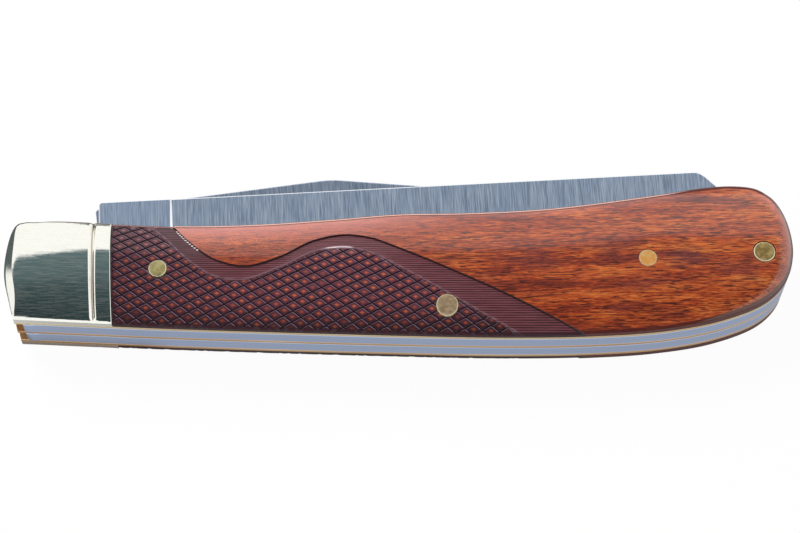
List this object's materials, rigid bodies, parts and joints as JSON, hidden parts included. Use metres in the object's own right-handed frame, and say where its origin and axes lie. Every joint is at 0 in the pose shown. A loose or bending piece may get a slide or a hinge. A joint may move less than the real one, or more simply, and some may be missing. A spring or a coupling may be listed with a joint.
{
  "type": "folding pocket knife",
  "caption": "Closed slip-joint folding pocket knife with a straight-backed and a clip-point blade, bolsters, liners and checkered wooden scales.",
  "frame": {"origin": "on the blades' pivot axis, at the plane the closed knife lies on (the end of the pivot pin, ground flush with the far bolster)", "axes": "+X from the pivot towards the butt, +Y from the back springs towards the blade side, +Z from the far side up to the near side, along the pivot axis"},
  "size_m": [0.1051, 0.0251, 0.0122],
  "materials": {
    "nickel_silver": "polished nickel silver with fine lengthwise scratches",
    "scale_wood": "oiled red-brown hardwood, semi-gloss, darker in the checkered panel",
    "liner_brass": "polished brass sheet",
    "spring_steel": "ground and polished steel",
    "blade_steel": "satin steel, ground across the blade",
    "pin_brass": "brass, ground flush and slightly scratched"
  },
  "bodies": {
    "handle": {"near_bolster": "nickel_silver", "far_bolster": "nickel_silver", "near_scale": "scale_wood", "far_scale": "scale_wood", "near_liner": "liner_brass", "centre_liner": "liner_brass", "far_liner": "liner_brass", "near_spring": "spring_steel", "far_spring": "spring_steel", "pivot_pin": "spring_steel", "middle_spring_pin": "pin_brass", "rear_spring_pin": "pin_brass", "near_front_rivet": "pin_brass", "near_rear_rivet": "pin_brass", "far_front_rivet": "pin_brass", "far_rear_rivet": "pin_brass", "near_bolster_rivet": "nickel_silver", "far_bolster_rivet": "nickel_silver"},
    "spey": {"spey_blade": "blade_steel"},
    "clip": {"clip_blade": "blade_steel"}
  },
  "joints": [
    {"name": "spey_fold", "type": "hinge", "parent": "handle", "child": "spey", "pos_m": [0, 0, 0.0076], "axis": [0, 0, 1], "range_deg": [0, 173.9], "deforming": ["near_spring"]},
    {"name": "clip_fold", "type": "hinge", "parent": "handle", "child": "clip", "pos_m": [0, 0, 0.0046], "axis": [0, 0, 1], "range_deg": [0, 168.9], "deforming": ["far_spring"]}
  ]
}
